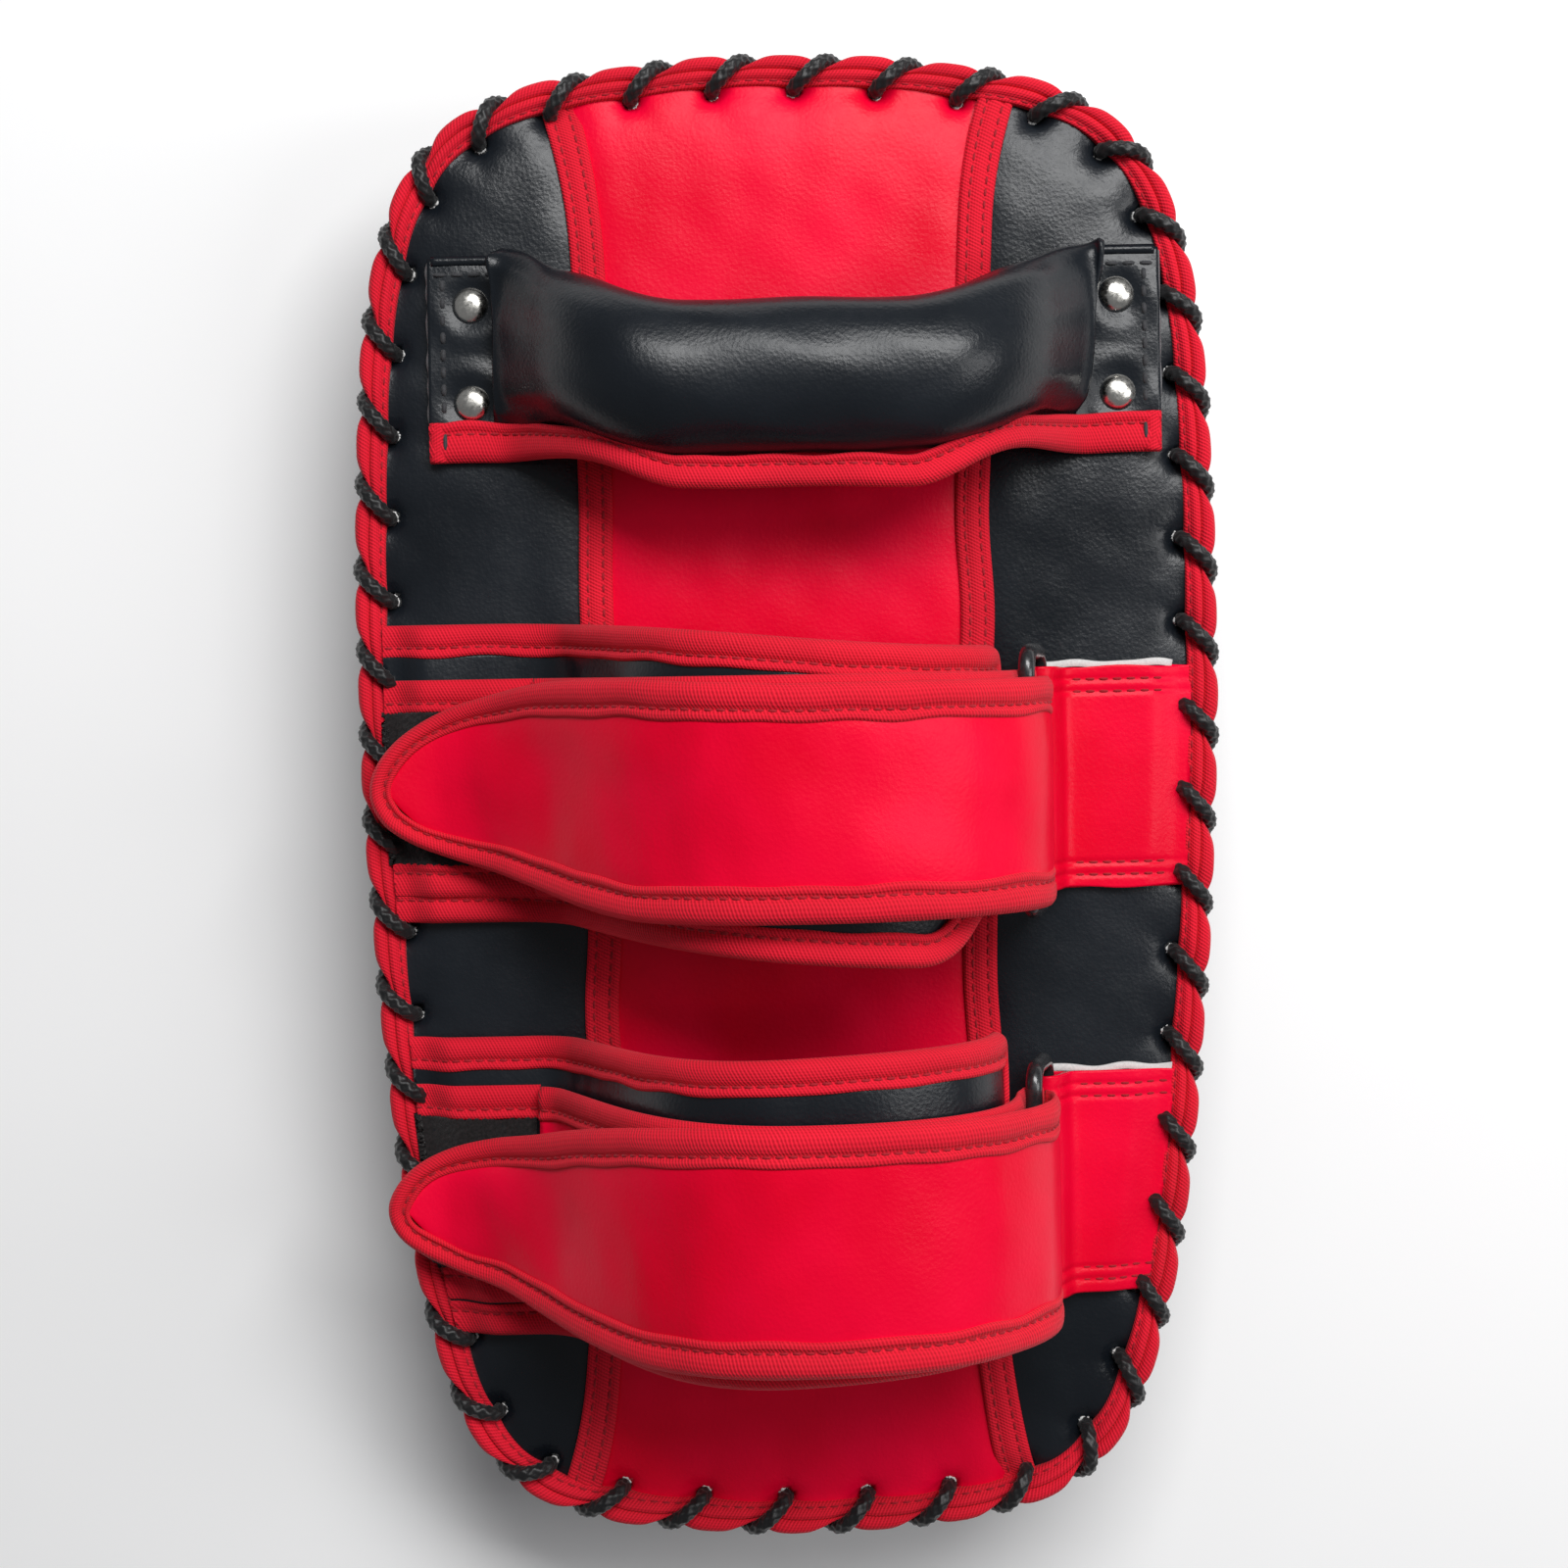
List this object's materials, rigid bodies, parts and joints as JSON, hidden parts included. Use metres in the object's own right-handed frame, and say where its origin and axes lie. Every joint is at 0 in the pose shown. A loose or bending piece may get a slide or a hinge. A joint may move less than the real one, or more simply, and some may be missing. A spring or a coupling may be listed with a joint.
{
  "type": "thai pad",
  "caption": "Laced leatherette kick pad with a foam core, a padded grip and two forearm straps that turn round rings and close with hook-and-loop flaps.",
  "frame": {"origin": "middle of the striking face, which the pad lies on", "axes": "+Y along the pad towards the grip end; +Z out of the rear face, where the grip and straps are; +X across the pad towards the rings"},
  "size_m": [0.2112, 0.3632, 0.1229],
  "materials": {
    "black_leatherette": "fine pebble grain, satin",
    "red_leatherette": "fine pebble grain, satin",
    "red_tape": "ribbed woven tape, stitched",
    "foam": "closed-cell foam, matte",
    "black_lace": "braided cord",
    "nickel": "polished nickel",
    "black_metal": "black enamel over wire",
    "hook_and_loop": "brushed nylon pile"
  },
  "bodies": {
    "pad": {"strike_panel_left": "black_leatherette", "strike_panel_right": "black_leatherette", "strike_panel_centre": "red_leatherette", "strike_piping": "red_tape", "side_gusset": "black_leatherette", "foam_front": "foam", "foam_middle": "foam", "foam_rear": "foam", "rear_panel_left": "black_leatherette", "rear_panel_right": "black_leatherette", "rear_panel_centre": "red_leatherette", "gusset_binding": "red_tape", "rear_binding": "red_tape", "seam_binding_left": "red_tape", "seam_binding_right": "red_tape", "edge_lace": "black_lace", "grip_strap": "black_leatherette", "grip_core": "foam", "grip_sleeve": "black_leatherette", "grip_binding": "red_tape", "rivet_1": "nickel", "rivet_2": "nickel", "rivet_3": "nickel", "rivet_4": "nickel", "upper_wrap": "black_leatherette", "upper_wrap_binding": "red_tape", "upper_loop_panel": "black_leatherette", "upper_loop_patch": "hook_and_loop", "upper_loop_binding_top": "red_tape", "upper_loop_binding_bottom": "red_tape", "upper_pull_strap": "red_leatherette", "upper_pull_binding_top": "red_tape", "upper_pull_binding_bottom": "red_tape", "upper_anchor": "red_leatherette", "lower_wrap": "black_leatherette", "lower_wrap_binding": "red_tape", "lower_loop_panel": "black_leatherette", "lower_loop_patch": "hook_and_loop", "lower_loop_binding_top": "red_tape", "lower_loop_binding_bottom": "red_tape", "lower_pull_strap": "red_leatherette", "lower_pull_binding_top": "red_tape", "lower_pull_binding_bottom": "red_tape", "lower_anchor": "red_leatherette"},
    "upper_ring": {"upper_ring": "black_metal"},
    "upper_flap": {"upper_flap": "red_leatherette", "upper_flap_binding": "red_tape", "upper_hook_patch": "hook_and_loop"},
    "lower_ring": {"lower_ring": "black_metal"},
    "lower_flap": {"lower_flap": "red_leatherette", "lower_flap_binding": "red_tape", "lower_hook_patch": "hook_and_loop"}
  },
  "joints": [
    {"name": "upper_ring_swing", "type": "hinge", "parent": "pad", "child": "upper_ring", "pos_m": [0.0612, 0.003, 0.0576], "axis": [0, 1, 0], "range_deg": [0, 20]},
    {"name": "upper_flap_peel", "type": "hinge", "parent": "upper_ring", "child": "upper_flap", "pos_m": [0.0565, 0.003, 0.075], "axis": [0, 1, 0], "range_deg": [0, 120]},
    {"name": "lower_ring_swing", "type": "hinge", "parent": "pad", "child": "lower_ring", "pos_m": [0.0612, -0.096, 0.0576], "axis": [0, 1, 0], "range_deg": [0, 20]},
    {"name": "lower_flap_peel", "type": "hinge", "parent": "lower_ring", "child": "lower_flap", "pos_m": [0.0565, -0.096, 0.075], "axis": [0, 1, 0], "range_deg": [0, 120]}
  ]
}
